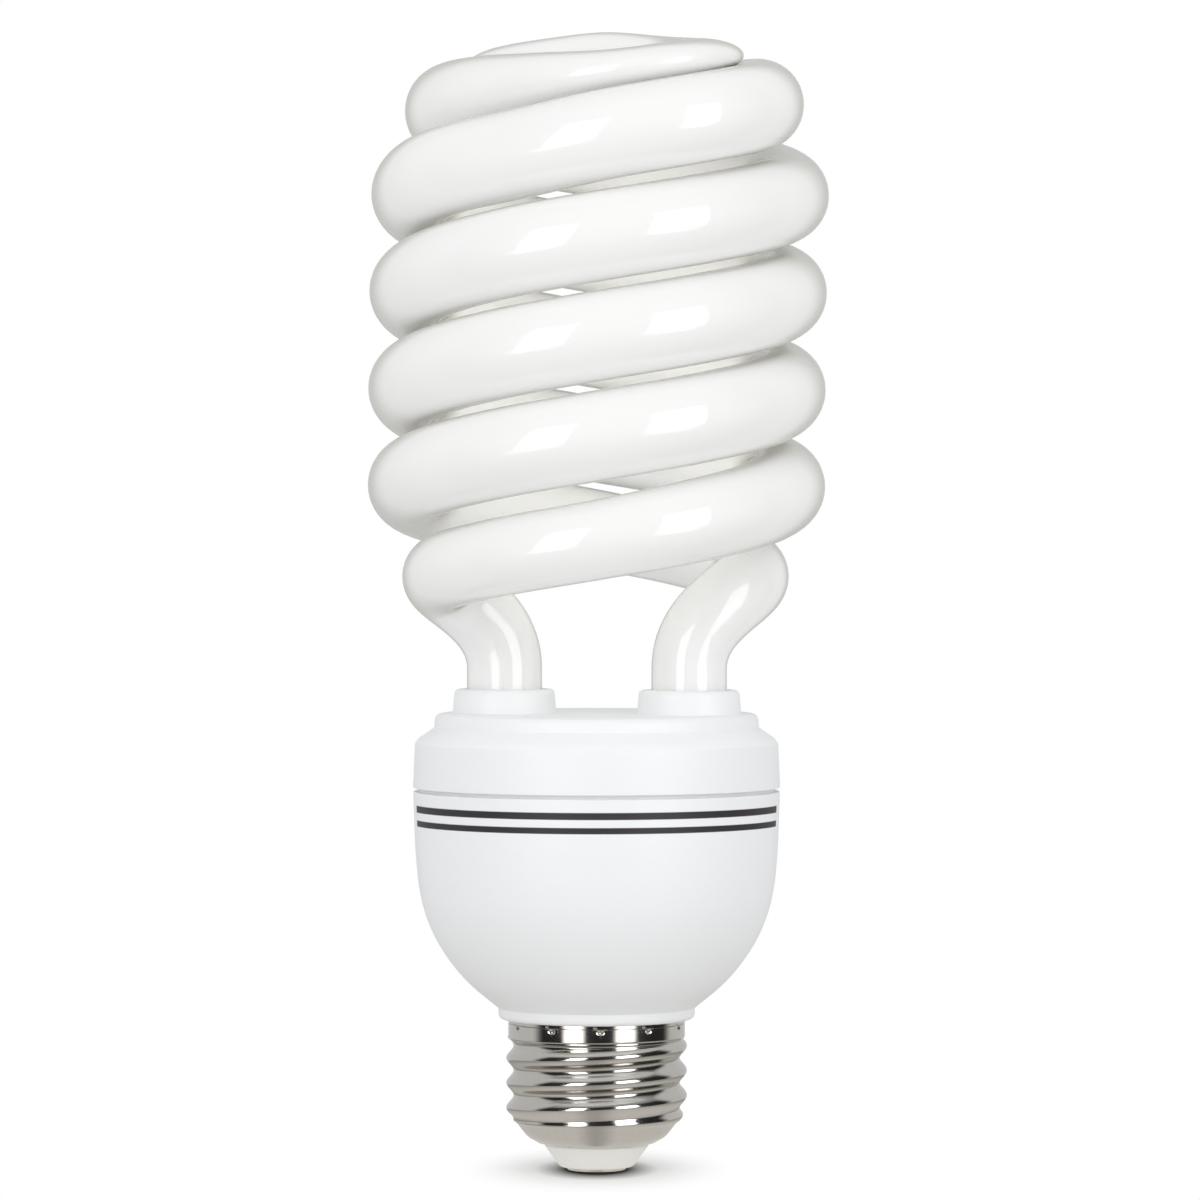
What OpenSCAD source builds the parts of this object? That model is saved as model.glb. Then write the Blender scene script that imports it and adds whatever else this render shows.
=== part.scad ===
// Spiral energy saving bulb: a double helix of sealed glass tube stands on a
// two-part moulded housing that holds its driver board, above a standard screw cap.
// The cap's centre contact stands on the ground plane and the axis is vertical.

/* [Glass spiral] */
// Outside radius of the glass tube in the coil
tube_r = 6.43; // [5:0.01:8]
// Radius of the coil's centre line
coil_r = 26.93; // [20:0.01:35]
// Fall of each arm over half a turn
half_pitch = 14.16; // [13.2:0.01:20]
// Rise of the crown above the even coil
crown_rise = 19.7; // [15:0.1:25]
// Sideways set of the crown, as the hot tube was bent
crown_shift = 1.1; // [0:0.1:3]
// Radius of the centre line where the last turn ends
foot_r = 22.9; // [20:0.1:26]
// Fall over the last half turn
foot_drop = 13.2; // [10:0.1:18]
// Radius of the two straight legs
leg_r = 5.5; // [4:0.01:6.4]
// Distance from the edge of the cover's flat top to the middle of a leg
leg_inset = 9.93; // [8:0.01:12]
// Distance of each leg from the axis, front to back
leg_y = 2.5; // [0:0.1:6]
// Height of the straight part of a leg above the cover
leg_rise = 6.6; // [5:0.1:12]
// Reach of the sealed end of a leg below the top of the cover
leg_depth = 5.7; // [4:0.1:8]
// Rise of the bend from a leg to the end of the last turn
bend_rise = 13.32; // [9:0.01:20]
// Pull of the coil on the bend into a leg
bend_out = 16; // [6:0.1:20]
// Pull of the leg on the same bend
bend_in = 10; // [4:0.1:14]

/* [Upper cover] */
// Wall thickness of both mouldings
wall = 1.8; // [1.2:0.1:3]
// Outside radius of the skirt at its lower edge
skirt_r = 26.81; // [25:0.01:29]
// Height of the cover from that edge to its flat top
cover_rise = 10.8; // [8:0.1:14]
// Rounding of its edge
deck_round = 1.2; // [0.5:0.1:2]
// Height of the upright step below the flat top
deck_step = 0.85; // [0.4:0.01:3]
// Width of the sloping shoulder
shoulder_run = 2.31; // [1:0.01:4]
// Height of the sloping shoulder
shoulder_rise = 1.55; // [1:0.01:3]
// Rounding below the shoulder
shoulder_round = 0.9; // [0.2:0.01:1.5]
// Width of that round
shoulder_set = 0.57; // [0.2:0.01:1]
// How far the skirt widens towards its lower edge
skirt_draft = 0.29; // [0:0.01:1]
// Thickness of the skirt over the spigot
skirt_lip = 0.86; // [0.6:0.01:1.5]
// Radius of each leg collar at its top
collar_r = 7.3; // [6.8:0.1:9]
// Extra radius of a collar at its foot
collar_draft = 0.3; // [0:0.01:1]
// Height of a collar above the flat top
collar_rise = 3.5; // [2:0.1:6]
// Rounding of a collar's rim
collar_round = 0.9; // [0.3:0.1:1.2]
// Gap between a leg and the bore of its collar
collar_gap = 0.45; // [0.2:0.01:1]
// Depth of the cement below the rim of a collar
cement_depth = 0.8; // [0.3:0.1:2]
// Reach of the cement below the flat top
cement_under = 3.2; // [2:0.1:4]
// Extra radius of the cement under the flat top
cement_spread = 1.2; // [0.5:0.1:2]

/* [Lower housing] */
// Width of the groove between cover and housing
seam = 0.57; // [0.3:0.01:1]
// How far the upper edge of the housing stands back from the skirt
rim_set = 0.03; // [0:0.01:0.3]
// Height of the upright band above the bowl
rim_rise = 6.28; // [4:0.01:9]
// How far that band narrows down to the bowl
rim_draft = 0.21; // [0:0.01:1]
// Height of the bowl
bowl_rise = 25.25; // [20:0.01:32]
// How far the foot of the bowl stands out over the ring round the neck
bowl_foot_out = 0.16; // [0:0.01:1]
// How far that ring stands out over the screw shell
neck_out = 1.45; // [0.8:0.01:3]
// Height of that ring
neck_rise = 1.76; // [1:0.01:3]
// Rounding of its lower edge
neck_round = 1; // [0.5:0.1:1.5]
// Clearance between the tongue and the screw shell round it
tongue_gap = 0.1; // [0.02:0.01:0.3]
// Length of that tongue
tongue_length = 2.1; // [1:0.1:4]
// Thickness of the tongue
tongue_wall = 1.3; // [0.8:0.1:2]
// Height of the spigot above the housing
spigot_rise = 3.6; // [2:0.1:6]
// Clearance round the spigot
spigot_gap = 0.05; // [0.02:0.01:0.2]
// Height of the snap bead on the spigot
bead_rise = 1; // [0.5:0.1:2]
// How far the snap bead stands out
bead_out = 0.25; // [0.1:0.01:0.5]
// Thickness of a rib under the board
rib_thick = 1.5; // [1:0.1:3]
// Length of a rib below the board
rib_drop = 12; // [5:0.1:20]
// How far a rib reaches under the board
rib_reach = 2.2; // [1:0.1:4]
// Number of those ribs
rib_count = 4; // [3:1:8]

/* [Screw cap] */
// Radius over the crests of the thread
crest_r = 13.2; // [13:0.01:13.3]
// Depth of the thread
thread_depth = 1.05; // [0.8:0.01:1.2]
// Length of the thread
thread_length = 12.4; // [10:0.1:16]
// Height of the plain skirt above the thread
shell_skirt = 2.44; // [1.5:0.01:5]
// How far that skirt stands back from the crests
shell_skirt_set = 0.3; // [0.1:0.01:0.8]
// Pitch of the standard cap thread
thread_pitch = 3.629; // [3.6:0.001:3.66]
// Thickness of the shell's sheet at the root
sheet = 0.3; // [0.2:0.01:0.5]
// Height of the shoulder below the thread
shell_shoulder = 3.4; // [2:0.1:5]
// How far that shoulder is drawn in
shell_draw = 4.53; // [3:0.01:6]
// Height of the insulator below the mouth of the shell
insulator_drop = 3.35; // [2:0.01:5]
// How far the insulator narrows towards its underside
insulator_taper = 2.24; // [1:0.01:3]
// Rounding of its lower edge
insulator_round = 0.7; // [0.3:0.1:1]
// Height of the insulator's flange inside the shell
insulator_flange = 2.4; // [1:0.1:4]
// Bore of the insulator for the contact lead
insulator_bore_r = 1.6; // [1:0.1:3]
// Thickness of the centre contact
contact_thick = 0.45; // [0.3:0.01:0.8]
// How far the contact stands back from the lower edge of the insulator
contact_set = 1; // [0.8:0.1:1.5]
// Rounding of the contact's lower edge
contact_round = 0.3; // [0.1:0.01:0.4]
// Radius of the eyelet that holds the contact in the insulator
eyelet_r = 1.3; // [1:0.1:2]
// Length of that eyelet above the contact
eyelet_length = 4.2; // [2:0.1:6]

/* [Driver board] */
// Gap between the board and the wall round it
board_gap = 0.81; // [0.5:0.01:2]
// Thickness of the board
board_thick = 1.6; // [0.8:0.1:2.4]
// Height of the board's underside above the bowl
board_lift = 0.95; // [0.5:0.01:3]
// Notch in the board over the supply lead
lead_notch = 2; // [1:0.1:4]
// Width of a square lead pin
pin_width = 0.9; // [0.5:0.1:1.5]
// Height of a lead pin above the board
pin_rise = 5; // [3:0.1:7]
// Radius of the tube's filament leads
filament_lead_r = 0.25; // [0.15:0.01:0.5]
// Distance of a lead from the middle of its leg
filament_offset = 2.2; // [1:0.1:4]
// Length, width and height of the ferrite core of the choke
core_size = [16, 13, 12.5];
// Height of the slots that hold the choke winding
core_window = 8; // [4:0.1:10]
// Width of the middle leg of the core
core_leg = 5; // [3:0.1:7]
// Thickness of the core's back and outer legs
core_web = 2.2; // [1.5:0.1:3]
// Thickness of the bobbin on the middle leg
bobbin_wall = 0.6; // [0.3:0.1:1]
// Outside radius of the smoothing capacitor
smoother_r = 5; // [4:0.1:6.5]
// Length of the smoothing capacitor
smoother_length = 17; // [12:0.1:20]
// Thickness of its printed sleeve
sleeve_thick = 0.25; // [0.1:0.01:0.5]
// How far the sleeve wraps over the end of the can
sleeve_lap = 0.8; // [0.3:0.1:2]
// Length, width and height of the resonance capacitor
resonance_size = [12, 5, 9.5];
// Length, width and height of the coupling capacitor
coupling_size = [8, 4, 7.5];
// Rounding of both film capacitors
film_round = 1.2; // [0.5:0.1:2]
// Outside radius of the drive ring
ring_r = 4.5; // [3:0.1:7]
// Radius of its hole
ring_bore_r = 2.4; // [1.5:0.1:4]
// Height of the drive ring
ring_thick = 3.4; // [2:0.1:6]
// Radius of the wire of its three windings
ring_wire_r = 0.35; // [0.2:0.01:0.6]
// Width, thickness and height of a power transistor
transistor_size = [7.8, 2.8, 10.8];
// Height of the plain tab at the top of a transistor
transistor_tab = 3.2; // [2:0.1:5]
// Radius of the line choke in the supply
line_choke_r = 4.2; // [3:0.1:6]
// Height of the line choke
line_choke_rise = 9; // [6:0.1:12]
// Depth of the winding space of the line choke
line_choke_groove = 1.2; // [0.5:0.1:2]
// Radius of a rectifier diode
diode_r = 1.35; // [1:0.01:2]
// Length of a rectifier diode
diode_length = 5.2; // [3:0.1:8]
// Distance between neighbouring diodes
diode_step = 4; // [3:0.1:6]
// Radius of a resistor
resistor_r = 1.2; // [0.8:0.01:2]
// Length of a resistor
resistor_length = 6.3; // [3:0.1:8]
// Radius of the supply leads
supply_lead_r = 0.5; // [0.3:0.01:0.8]
// Gap between the shell lead and the tongue beside it
shell_lead_gap = 0.3; // [0.1:0.1:1]
// Depth of the shell lead's joint below the start of the thread
shell_lead_drop = 4.4; // [3:0.1:8]
// Radius of the fusible resistor in the contact lead
fuse_r = 1.8; // [1:0.1:3]
// Length of the fusible resistor
fuse_length = 9; // [6:0.1:12]
// Height of the lower end of the fusible resistor above the insulator
fuse_lift = 10.8; // [5:0.1:14]

/* [Hidden] */
$fn = 96;
// Each row of the crown: across, forward, fall, tube width and tube height
crown_shares = [
    [0, 0, 0, 0.88, 0.62], [0.335, -0.125, 0, 0.975, 0.49], [0.49, -0.32, 0.002, 1.025, 0.4],
    [0.47, -0.54, 0.032, 1.025, 0.41], [0.31, -0.685, 0.094, 1.005, 0.46], [0.02, -0.685, 0.166, 1, 0.53],
    [-0.34, -0.52, 0.226, 1, 0.7], [-0.665, -0.2, 0.28, 1, 0.88], [-0.835, 0.225, 0.341, 1, 1],
    [-0.77, 0.65, 0.421, 1, 1], [-0.47, 0.925, 0.518, 1, 1], [-0.02, 0.96, 0.628, 1, 1],
    [0.43, 0.8, 0.754, 1, 1], [0.857, 0.495, 0.87, 1, 1], [1, 0, 1, 1, 1]
];
// Each row of the last half turn: closing in, fall and tube size; the last only guides the bend
foot_shares = [
    [0.09, 0.2, 0.965], [0.2, 0.39, 0.93], [0.35, 0.58, 0.885],
    [0.55, 0.745, 0.88], [0.77, 0.89, 0.88], [1, 1, 0.88]
];
// Radius of the bowl over that of its foot, at even steps from its top to its foot
bowl_shares = [1, 0.982, 0.952, 0.89, 0.778, 0.601, 0.352, 0];
// Radius and fall of the shell's shoulder from the root of the thread to the mouth
shell_foot_shares = [[1, 0], [0.86, 0.14], [0.72, 0.4], [0.5, 0.7], [0.22, 0.92], [0, 1]];
node_turn = 30;
coil_turn = 540;
crown_end_turn = 450;
rings_per_node = 3;
bend_rings = 12;
tube_sides = 14;
coil_nodes = coil_turn / node_turn;

thread_sides = 48;
thread_levels = 26;
thread_fade_share = 0.09;

// Each piece stands on the one below it, from the contact up to the coil
insulator_foot = contact_thick;
shell_mouth = insulator_foot + insulator_drop;
thread_bottom = shell_mouth + shell_shoulder;
thread_top = thread_bottom + thread_length;
shell_top = thread_top + shell_skirt;
bowl_foot = shell_top + neck_rise;
bowl_top = bowl_foot + bowl_rise;
rim_top = bowl_top + rim_rise;
spigot_top = rim_top + spigot_rise;
skirt_bottom = rim_top + seam;
cover_top = skirt_bottom + cover_rise;
leg_end = cover_top - leg_depth;
leg_top = cover_top + leg_rise;
coil_foot = leg_top + bend_rise + foot_drop;
coil_top = coil_foot + half_pitch * coil_turn / 180;
insulator_top = shell_mouth + insulator_flange;
board_foot = bowl_top + board_lift;
board_top = board_foot + board_thick;
fuse_foot = insulator_top + fuse_lift;
shell_lead_foot = thread_top - shell_lead_drop;

// Each radius follows from the skirt of the cover or the crests of the thread
skirt_top_r = skirt_r - skirt_draft;
shoulder_r = skirt_top_r - shoulder_set;
cover_deck_r = shoulder_r - shoulder_run;
spigot_r = skirt_r - skirt_lip - spigot_gap;
rim_r = skirt_r - rim_set;
bowl_r = rim_r - rim_draft;
board_r = skirt_r - wall - board_gap;
leg_x = sqrt(pow(cover_deck_r - leg_inset, 2) - pow(leg_y, 2));
root_r = crest_r - thread_depth;
shell_in = root_r - sheet;
shell_skirt_r = crest_r - shell_skirt_set;
shell_mouth_r = root_r - shell_draw;
insulator_foot_r = shell_mouth_r - spigot_gap - insulator_taper;
contact_r = insulator_foot_r - contact_set;
neck_r = shell_skirt_r + neck_out;
bowl_foot_r = neck_r + bowl_foot_out;
tongue_r = shell_skirt_r - sheet - tongue_gap;
shell_lead_x = tongue_r - tongue_wall - shell_lead_gap - supply_lead_r;

// Places on the board, as shares of its radius, and turns
core_place = [-0.443 * board_r, 0, board_foot];
smoother_place = [0.336, 0.321] * board_r;
resonance_place = [0.433, -0.214] * board_r;
coupling_place = [0.265, 0.703] * board_r;
ring_place = [0.265, -0.657] * board_r;
line_choke_place = [-0.234, -0.642] * board_r;
diode_place = [0, 0.372] * board_r;
transistor_places = [[-0.173, 0.713, 15], [-0.57, 0.55, 45]];
resistor_places = [[-0.331, -0.579, 30], [0.083, -0.62, -10], [0.413, -0.537, -40]];

function spline(a, b, c, d, f) =
    0.5 * (2 * b + (c - a) * f + (2 * a - 5 * b + 4 * c - d) * f * f + (3 * b - a - 3 * c + d) * f * f * f);
function curve(a, b, c, d, f) =
    pow(1 - f, 3) * a + 3 * pow(1 - f, 2) * f * b + 3 * (1 - f) * f * f * c + pow(f, 3) * d;
function unit(v) = v / norm(v);
function half_turned(v) = [-v[0], -v[1], v[2]];

// Rows of the centre line: position, tube width and tube height
crown_rows = [for (s = crown_shares)
    [s[0] * coil_r, s[1] * coil_r, coil_top + crown_rise * (1 - s[2]), s[3] * tube_r, s[4] * tube_r]];
coil_rows = [for (k = [1 : coil_nodes])
    let (a = 90 - crown_end_turn - node_turn * k)
    [coil_r * cos(a), coil_r * sin(a), coil_top - half_pitch * node_turn * k / 180, tube_r, tube_r]];
foot_last = len(foot_shares) - 1;
foot_rows = [for (k = [0 : foot_last])
    let (
        a = 90 - crown_end_turn - coil_turn - node_turn * (k + 1),
        r = coil_r + (foot_r - coil_r) * foot_shares[k][0],
        t = tube_r * foot_shares[k][2]
    )
    [r * cos(a), r * sin(a), coil_foot - foot_drop * foot_shares[k][1], t, t]];
main_rows = concat(crown_rows, coil_rows, [for (k = [0 : foot_last - 1]) foot_rows[k]]);
first_row = main_rows[1];
last_row = main_rows[len(main_rows) - 1];
before_last_row = main_rows[len(main_rows) - 2];
lead_in_row = [-first_row[0], -first_row[1], first_row[2], first_row[3], first_row[4]];
lead_out_row = foot_rows[foot_last];
guided_rows = concat([lead_in_row], main_rows, [lead_out_row]);
wound_rows = concat(
    [for (i = [1 : len(main_rows) - 1])
        for (k = [0 : rings_per_node - 1])
            spline(guided_rows[i - 1], guided_rows[i], guided_rows[i + 1], guided_rows[i + 2],
                k / rings_per_node)],
    [last_row]
);

// The bend from the coil's end down into the leg
wound_end = wound_rows[len(wound_rows) - 1];
bend_start = [wound_end[0], wound_end[1], wound_end[2]];
bend_heading = unit([for (k = [0 : 2]) lead_out_row[k] - before_last_row[k]]);
bend_flat = unit([bend_heading[0], bend_heading[1], 0]);
bend_finish = [leg_x, -leg_y, leg_top];
bend_pulls = [bend_start + bend_heading * bend_out, bend_finish + [0, 0, bend_in]];
bend_rows = [for (k = [1 : bend_rings])
    let (
        f = k / bend_rings,
        p = curve(bend_start, bend_pulls[0], bend_pulls[1], bend_finish, f),
        t = wound_end[3] + (leg_r - wound_end[3]) * f
    )
    [p[0], p[1], p[2], t, t]];
leg_rows = [[leg_x, -leg_y, leg_end, leg_r, leg_r]];
arm_rows = concat(wound_rows, bend_rows, leg_rows);
// Direction that stands for up in each ring, turning over to the heading in the bend
arm_ups = concat(
    [for (r = wound_rows) [0, 0, 1]],
    [for (k = [1 : bend_rings]) unit([0, 0, 1] * (1 - k / bend_rings) + bend_flat * k / bend_rings)],
    [bend_flat]
);
function placed(r) =
    let (h = max(r[2] - coil_foot, 0) / (coil_top + crown_rise - coil_foot))
    [r[0] + crown_shift * h * h, r[1], r[2]];
arm_count = len(arm_rows);
tube_line = concat(
    [for (i = [arm_count - 1 : -1 : 1]) placed(half_turned(arm_rows[i]))],
    [for (r = arm_rows) placed(r)]
);
tube_ups = concat(
    [for (i = [arm_count - 1 : -1 : 1]) half_turned(arm_ups[i])],
    arm_ups
);
tube_sizes = concat(
    [for (i = [arm_count - 1 : -1 : 1]) [arm_rows[i][3], arm_rows[i][4]]],
    [for (r = arm_rows) [r[3], r[4]]]
);

function heading(line, i) =
    i == 0 ? [0, 0, 1] : i == len(line) - 1 ? [0, 0, -1] : unit(line[i + 1] - line[i - 1]);

function ring(line, ups, sizes, i) =
    let (
        h = heading(line, i),
        across = unit(cross(h, ups[i])),
        upward = cross(across, h)
    )
    [for (k = [0 : tube_sides - 1])
        let (a = 360 * k / tube_sides)
        line[i] + across * sizes[i][0] * cos(a) + upward * sizes[i][1] * sin(a)];

// Skin over rings of equal count, closed by flat ends or round on itself
function skin_sides(rings, sides, looped) =
    [for (i = [0 : rings - (looped ? 1 : 2)])
        for (k = [0 : sides - 1])
            let (
                j = (i + 1) % rings,
                m = (k + 1) % sides
            )
            each [
                [i * sides + k, i * sides + m, j * sides + m],
                [i * sides + k, j * sides + m, j * sides + k]
            ]];

module at_both_legs() {
    translate([leg_x, -leg_y, 0]) children();
    translate([-leg_x, leg_y, 0]) children();
}

// One sealed tube: crown, two arms of the coil and two legs
module glass_spiral() {
    rings = len(tube_line);
    points = [for (i = [0 : rings - 1]) each ring(tube_line, tube_ups, tube_sizes, i)];
    first_end = [[for (k = [tube_sides - 1 : -1 : 0]) k]];
    last_end = [[for (k = [0 : tube_sides - 1]) (rings - 1) * tube_sides + k]];
    color([0.93, 0.93, 0.9])
        polyhedron(points, concat(skin_sides(rings, tube_sides, false), first_end, last_end), convexity = 12);
}

// White cement that fills the collars round the legs and spreads below the cover
module tube_cement() {
    cement_top = cover_top + collar_rise - cement_depth;
    under = cover_top - wall;
    bottom = cover_top - cement_under - collar_gap;
    color([0.95, 0.95, 0.93])
        at_both_legs()
            rotate_extrude()
                polygon([
                    [leg_r, bottom], [leg_r + collar_gap + cement_spread * 0.6, bottom],
                    [leg_r + collar_gap + cement_spread, under], [leg_r + collar_gap, under],
                    [leg_r + collar_gap, cement_top], [leg_r, cement_top]
                ]);
}

shoulder_foot = cover_top - deck_round - deck_step - shoulder_rise;
skirt_inner_r = skirt_r - wall;
rebate_r = spigot_r + spigot_gap;

module cover_outside() {
    arc = [for (k = [0 : 4]) let (a = 90 - 90 * k / 4)
        [cover_deck_r - deck_round + deck_round * cos(a), cover_top - deck_round + deck_round * sin(a)]];
    round = [for (k = [0 : 3]) let (a = 55 - 55 * k / 3)
        [skirt_top_r - shoulder_round + shoulder_round * cos(a),
            shoulder_foot - shoulder_round + shoulder_round * sin(a)]];
    rotate_extrude()
        polygon(concat(
            [[0, cover_top]], arc,
            [[cover_deck_r, cover_top - deck_round - deck_step]],
            [[shoulder_r, shoulder_foot]], round,
            [[skirt_r, skirt_bottom], [0, skirt_bottom]]
        ));
}

module cover_inside() {
    slope = wall * 0.55;
    rotate_extrude()
        polygon([
            [0, cover_top - wall], [cover_deck_r - wall, cover_top - wall],
            [cover_deck_r - wall, cover_top - deck_round - deck_step - slope],
            [skirt_inner_r, shoulder_foot - wall], [skirt_inner_r, spigot_top],
            [rebate_r, spigot_top], [rebate_r, rim_top + bead_rise * 3],
            [rebate_r + bead_out, rim_top + bead_rise * 2.5],
            [rebate_r + bead_out, rim_top + bead_rise * 1.5],
            [rebate_r, rim_top + bead_rise], [rebate_r, skirt_bottom - wall], [0, skirt_bottom - wall]
        ]);
}

module collar() {
    foot = cover_top - wall;
    top = cover_top + collar_rise;
    arc = [for (k = [0 : 3]) let (a = 90 * k / 3)
        [collar_r - collar_round + collar_round * cos(a), top - collar_round + collar_round * sin(a)]];
    rotate_extrude()
        polygon(concat(
            [[0, foot], [collar_r + collar_draft, foot], [collar_r + collar_draft, cover_top]],
            arc, [[0, top]]
        ));
}

// Moulded cover with a stepped deck and a collar round each leg
module upper_cover() {
    color([0.94, 0.95, 0.96])
        difference() {
            union() {
                difference() {
                    cover_outside();
                    cover_inside();
                }
                at_both_legs() collar();
            }
            at_both_legs()
                translate([0, 0, cover_top - wall - collar_gap])
                    cylinder(r = leg_r + collar_gap, h = wall + collar_rise + collar_gap * 2);
        }
}

function bowl_share(f) =
    let (
        n = len(bowl_shares) - 1,
        i = min(floor(f * n), n - 1),
        last = bowl_shares[n],
        a = i > 0 ? bowl_shares[i - 1] : bowl_shares[0],
        d = i + 2 <= n ? bowl_shares[i + 2] : 2 * last - bowl_shares[n - 1]
    )
    spline(a, bowl_shares[i], bowl_shares[i + 1], d, f * n - i);

bowl_steps = 14;
neck_foot = shell_top;

function bowl_line(inset) = [for (k = [0 : bowl_steps])
    [bowl_foot_r + (bowl_r - bowl_foot_r) * bowl_share(k / bowl_steps) - inset,
        bowl_top + (bowl_foot - bowl_top) * k / bowl_steps]];

module housing_outside() {
    arc = [for (k = [1 : 4]) let (a = -90 * k / 4)
        [neck_r - neck_round + neck_round * cos(a), neck_foot + neck_round + neck_round * sin(a)]];
    rotate_extrude()
        polygon(concat(
            [[0, rim_top], [rim_r, rim_top]], bowl_line(0),
            [[neck_r, bowl_foot], [neck_r, neck_foot + neck_round]], arc,
            [[tongue_r, neck_foot], [tongue_r, neck_foot - tongue_length], [0, neck_foot - tongue_length]]
        ));
    rotate_extrude()
        polygon([
            [0, rim_top], [spigot_r, rim_top], [spigot_r, rim_top + bead_rise * 1.25],
            [spigot_r + bead_out, rim_top + bead_rise * 1.75],
            [spigot_r + bead_out, rim_top + bead_rise * 2.25],
            [spigot_r, rim_top + bead_rise * 2.75], [spigot_r, spigot_top], [0, spigot_top]
        ]);
}

module housing_inside() {
    neck_in = tongue_r - tongue_wall;
    deep = neck_foot - tongue_length;
    rotate_extrude()
        polygon(concat(
            [[0, spigot_top + wall], [skirt_inner_r, spigot_top + wall], [skirt_inner_r, bowl_top + wall]],
            bowl_line(wall * 1.15),
            [[neck_in, bowl_foot - wall / 2], [neck_in, deep - wall], [0, deep - wall]]
        ));
}

// Moulded bowl with a tongue for the cap, a snap spigot and ribs under the board
module lower_housing() {
    color([0.93, 0.94, 0.96]) {
        difference() {
            housing_outside();
            housing_inside();
        }
        intersection() {
            housing_outside();
            for (k = [0 : rib_count - 1])
                rotate([0, 0, 360 * (k + 0.5) / rib_count])
                    translate([board_r - rib_reach, -rib_thick / 2, board_foot - rib_drop])
                        cube([rim_r - board_r + rib_reach, rib_thick, rib_drop]);
        }
    }
}

// Radius of the shell at a height and angle: a rounded right-hand thread on a plain root
function thread_r(z, a) =
    let (
        f = (thread_top - z) / (thread_top - thread_bottom),
        fade = min(1, f / thread_fade_share, (1 - f) / thread_fade_share),
        wave = 0.5 + 0.5 * cos(360 * (z / thread_pitch) - a),
        plain = max(0, 1 - f / thread_fade_share)
    )
    root_r + thread_depth * wave * max(fade, 0) + plain * (shell_skirt_r - root_r);

// Pressed sheet screw shell with a plain skirt above the thread and a drawn-in foot
module screw_shell() {
    threaded = [for (k = [0 : thread_levels]) thread_top - (thread_top - thread_bottom) * k / thread_levels];
    foot_rows = [for (s = shell_foot_shares)
        [shell_mouth_r + shell_draw * s[0], thread_bottom - shell_shoulder * s[1]]];
    plain_rows = concat(
        [for (s = [1 : len(foot_rows) - 1]) foot_rows[s]],
        [for (s = [len(foot_rows) - 1 : -1 : 0])
            [foot_rows[s][0] - (s == len(foot_rows) - 1 ? 0 : sheet * 0.5), foot_rows[s][1] + sheet]],
        [[shell_in, thread_bottom + sheet * 2], [shell_in, thread_top - sheet * 2]],
        [[shell_skirt_r - sheet, thread_top + sheet], [shell_skirt_r - sheet, shell_top]],
        [[shell_skirt_r, shell_top]]
    );
    ring_count = len(threaded) + len(plain_rows);
    points = concat(
        [for (z = threaded)
            each [for (k = [0 : thread_sides - 1])
                let (a = 360 * k / thread_sides, r = thread_r(z, a))
                [r * cos(a), r * sin(a), z]]],
        [for (p = plain_rows)
            each [for (k = [0 : thread_sides - 1])
                let (a = 360 * k / thread_sides)
                [p[0] * cos(a), p[0] * sin(a), p[1]]]]
    );
    color([0.75, 0.74, 0.72])
        polyhedron(points, skin_sides(ring_count, thread_sides, true), convexity = 12);
}

// Cream insulator pressed into the foot of the shell, with a rounded lower edge
module cap_insulator() {
    mouth_in = shell_mouth_r - spigot_gap;
    slope = atan2(shell_mouth - sheet - insulator_foot, mouth_in - insulator_foot_r);
    reach = insulator_round * tan(slope / 2);
    arc = [for (k = [0 : 4]) let (a = -90 + slope * k / 4)
        [insulator_foot_r - reach + insulator_round * cos(a),
            insulator_foot + insulator_round + insulator_round * sin(a)]];
    color([0.87, 0.87, 0.84])
        rotate_extrude()
            polygon(concat(
                [[insulator_bore_r, insulator_foot]], arc,
                [[mouth_in, shell_mouth - sheet], [mouth_in, insulator_top], [insulator_bore_r, insulator_top]]
            ));
}

// Centre contact: a rounded disc with an eyelet through the insulator
module centre_contact() {
    arc = [for (k = [0 : 3]) let (a = -90 + 90 * k / 3)
        [contact_r - contact_round + contact_round * cos(a), contact_round + contact_round * sin(a)]];
    color([0.72, 0.7, 0.66])
        rotate_extrude()
            polygon(concat(
                [[0, 0]], arc,
                [[contact_r, insulator_foot], [eyelet_r, insulator_foot],
                    [eyelet_r, insulator_foot + eyelet_length], [0, insulator_foot + eyelet_length]]
            ));
}

// Round board with a notch over the shell lead
module driver_board() {
    color([0.72, 0.62, 0.4])
        difference() {
            translate([0, 0, board_foot]) cylinder(r = board_r, h = board_thick);
            translate([board_r - lead_notch, -lead_notch, board_foot - board_thick])
                cube([lead_notch * 2, lead_notch * 2, board_thick * 3]);
        }
}

module at_filament_leads() {
    at_both_legs()
        for (s = [-1, 1])
            translate([0, s * filament_offset, 0]) children();
}

// Four square pins that take the leads of the tube
module lead_pins() {
    color([0.8, 0.8, 0.78])
        at_filament_leads()
            translate([-pin_width / 2, -pin_width / 2, board_top])
                cube([pin_width, pin_width, pin_rise]);
}

// Four bare leads from the sealed ends of the tube to the pins
module filament_leads() {
    color([0.85, 0.6, 0.4])
        at_filament_leads()
            translate([0, 0, board_top + pin_rise])
                cylinder(r = filament_lead_r, h = leg_end - board_top - pin_rise);
}

module core_outline(inset) {
    translate(core_place + [-core_size[0] / 2 + inset, -core_size[1] / 2 + inset, -core_size[2]])
        cube([core_size[0] - inset * 2, core_size[1] - inset * 2, core_size[2]]);
}

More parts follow.
